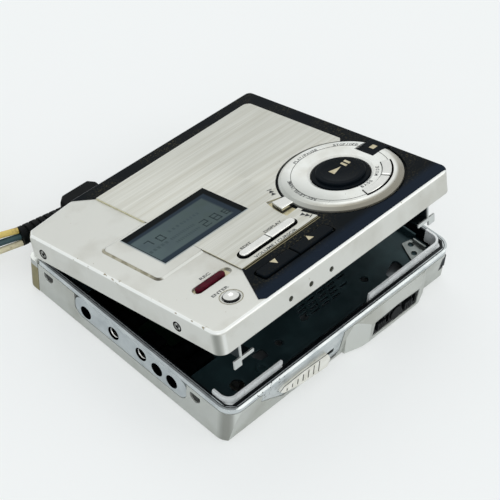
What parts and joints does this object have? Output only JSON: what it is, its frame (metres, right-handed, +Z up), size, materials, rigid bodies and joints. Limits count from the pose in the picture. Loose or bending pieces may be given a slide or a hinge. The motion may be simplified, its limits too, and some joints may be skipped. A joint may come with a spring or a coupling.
{
  "type": "portable disc recorder",
  "caption": "Pocket disc recorder with a hinged lid half open over its disc tray, ring of keys and display on top, and a plugged-in lead behind.",
  "frame": {"origin": "middle of the flat underside", "axes": "+X along the hinge to the right seen from the front, +Y towards the hinge, +Z up"},
  "size_m": [0.1115, 0.1419, 0.0393],
  "materials": {
    "silver_paint": "satin silver paint",
    "bright_frame": "bluish silver plastic",
    "chrome_lip": "bright pressed metal",
    "rear_tan": "olive tan plastic",
    "black_part": "black plastic",
    "gloss_black": "gloss black panel",
    "silver_key": "satin silver key",
    "red_key": "dark red key",
    "brushed_plate": "fine brushed along X",
    "display_glass": "grey display window",
    "display_back": "reflective display cell",
    "deck_steel": "dark pressed steel",
    "tray_steel": "bare sheet steel",
    "steel": "turned steel",
    "board": "green circuit board",
    "chip": "black moulded chips",
    "cell_wrap": "metal can of the cell",
    "screw_metal": "plated screw",
    "lens": "optical block",
    "plug_rubber": "black moulded plug",
    "wire_yellow": "soft yellow jacket",
    "wire_teal": "soft dark teal jacket",
    "wire_cream": "soft cream jacket",
    "housing": "off-white connector housing"
  },
  "bodies": {
    "base": {"bottom_cover": "silver_paint", "rim_frame": "bright_frame", "guide_lips": "chrome_lip", "rear_panel": "rear_tan", "dock_socket": "black_part", "jack_panel": "bright_frame", "strap_eyelet": "black_part", "switch_bezel": "black_part", "latch_spring": "steel", "chassis_plate": "deck_steel", "corner_bracket": "tray_steel", "hinge_pins": "steel", "hinge_spring": "steel", "main_board": "board", "board_chips": "chip", "battery": "cell_wrap", "battery_spring": "steel", "spindle_motor": "steel", "sled_motor": "steel", "guide_rod": "steel", "base_screws": "screw_metal", "dc_jack": "black_part", "mini_jacks": "black_part", "plug_body": "plug_rubber", "plug_relief": "plug_rubber", "wire_yellow": "wire_yellow", "wire_teal": "wire_teal", "wire_cream": "wire_cream", "wire_coil": "wire_teal", "wire_connector": "housing"},
    "release": {"open_slider": "bright_frame", "latch_slide": "tray_steel"},
    "hold": {"hold_switch": "black_part"},
    "tone": {"tone_switch": "black_part"},
    "hub": {"turntable": "black_part"},
    "pickup": {"optical_pickup": "lens"},
    "feed_screw": {"lead_screw": "steel"},
    "door": {"battery_door": "silver_paint"},
    "lid": {"lid_shell": "silver_paint", "lid_inner_plate": "black_part", "brushed_plate": "brushed_plate", "black_panel": "gloss_black", "lcd_glass": "display_glass", "lcd_module": "display_back", "lid_board": "board", "lid_screws": "screw_metal", "dial_ring": "silver_key"},
    "holder": {"disc_holder": "tray_steel"},
    "head": {"record_head": "tray_steel"},
    "play": {"play_button": "gloss_black"},
    "stop": {"stop_button": "gloss_black"},
    "bass": {"bass_button": "silver_key"},
    "mode": {"mode_button": "silver_key"},
    "edit": {"edit_button": "silver_key"},
    "display": {"display_button": "silver_key"},
    "volume_down": {"volume_down_button": "gloss_black"},
    "volume_up": {"volume_up_button": "gloss_black"},
    "record": {"record_slider": "red_key"},
    "enter": {"enter_button": "silver_key"},
    "skip": {"skip_lever": "silver_key"}
  },
  "joints": [
    {"name": "lid_hinge", "type": "hinge", "parent": "base", "child": "lid", "pos_m": [0, 0.0348, 0.01305], "axis": [-1, 0, 0], "range_deg": [-14.5, 25.5]},
    {"name": "holder_hinge", "type": "hinge", "parent": "lid", "child": "holder", "pos_m": [0, 0.0348, 0.01305], "axis": [1, 0, 0], "range_deg": [-3.62, 6.38]},
    {"name": "release_slide", "type": "slide", "parent": "base", "child": "release", "axis": [1, 0, 0], "range_m": [0, 0.0035], "stiffness_N_per_m": 200, "springref_m": -0.001},
    {"name": "hold_slide", "type": "slide", "parent": "base", "child": "hold", "axis": [1, 0, 0], "range_m": [0, 0.0018]},
    {"name": "tone_slide", "type": "slide", "parent": "base", "child": "tone", "axis": [1, 0, 0], "range_m": [0, 0.0018]},
    {"name": "hub_spin", "type": "hinge", "parent": "base", "child": "hub", "pos_m": [0, -0.0032, 0.011], "axis": [0, 0, 1], "continuous": true},
    {"name": "pickup_slide", "type": "slide", "parent": "base", "child": "pickup", "axis": [0, 1, 0], "range_m": [0, 0.0145]},
    {"name": "screw_spin", "type": "hinge", "parent": "base", "child": "feed_screw", "pos_m": [-0.013, 0.02, 0.0062], "axis": [0, 1, 0], "range_deg": [0, 2700]},
    {"name": "door_hinge", "type": "hinge", "parent": "base", "child": "door", "pos_m": [0.0442, -0.027, 0.0023], "axis": [0, 1, 0], "range_deg": [0, 90]},
    {"name": "head_lift", "type": "hinge", "parent": "lid", "child": "head", "pos_m": [0, 0.02986, 0.01913], "axis": [-1, 0, 0], "range_deg": [0, 1], "stiffness_Nm_per_rad": 0.02},
    {"name": "play_press", "type": "slide", "parent": "lid", "child": "play", "axis": [0, -0.2504, -0.9681], "range_m": [0, 0.0004], "stiffness_N_per_m": 700, "springref_m": -0.0004},
    {"name": "stop_press", "type": "slide", "parent": "lid", "child": "stop", "axis": [0, -0.2504, -0.9681], "range_m": [0, 0.0004], "stiffness_N_per_m": 700, "springref_m": -0.0004},
    {"name": "bass_press", "type": "slide", "parent": "lid", "child": "bass", "axis": [0, -0.2504, -0.9681], "range_m": [0, 0.0004], "stiffness_N_per_m": 700, "springref_m": -0.0004},
    {"name": "mode_press", "type": "slide", "parent": "lid", "child": "mode", "axis": [0, -0.2504, -0.9681], "range_m": [0, 0.0004], "stiffness_N_per_m": 700, "springref_m": -0.0004},
    {"name": "edit_press", "type": "slide", "parent": "lid", "child": "edit", "axis": [0, -0.2504, -0.9681], "range_m": [0, 0.0004], "stiffness_N_per_m": 700, "springref_m": -0.0004},
    {"name": "display_press", "type": "slide", "parent": "lid", "child": "display", "axis": [0, -0.2504, -0.9681], "range_m": [0, 0.0004], "stiffness_N_per_m": 700, "springref_m": -0.0004},
    {"name": "volume_down_press", "type": "slide", "parent": "lid", "child": "volume_down", "axis": [0, -0.2504, -0.9681], "range_m": [0, 0.0004], "stiffness_N_per_m": 700, "springref_m": -0.0004},
    {"name": "volume_up_press", "type": "slide", "parent": "lid", "child": "volume_up", "axis": [0, -0.2504, -0.9681], "range_m": [0, 0.0004], "stiffness_N_per_m": 700, "springref_m": -0.0004},
    {"name": "enter_press", "type": "slide", "parent": "lid", "child": "enter", "axis": [0, -0.2504, -0.9681], "range_m": [0, 0.0004], "stiffness_N_per_m": 700, "springref_m": -0.0004},
    {"name": "record_slide", "type": "slide", "parent": "lid", "child": "record", "axis": [1, 0, 0], "range_m": [0, 0.0018], "stiffness_N_per_m": 100, "springref_m": -0.0008},
    {"name": "skip_turn", "type": "hinge", "parent": "lid", "child": "skip", "pos_m": [0.0248, -0.01336, 0.03372], "axis": [0, 0.2504, 0.9681], "range_deg": [-5.5, 5.5], "stiffness_Nm_per_rad": 0.02}
  ],
  "couplings": [
    {"joint": "holder_hinge", "follows": "lid_hinge", "ratio": 0.25},
    {"joint": "screw_spin", "follows": "pickup_slide", "rad_per_m": 3141.6}
  ]
}
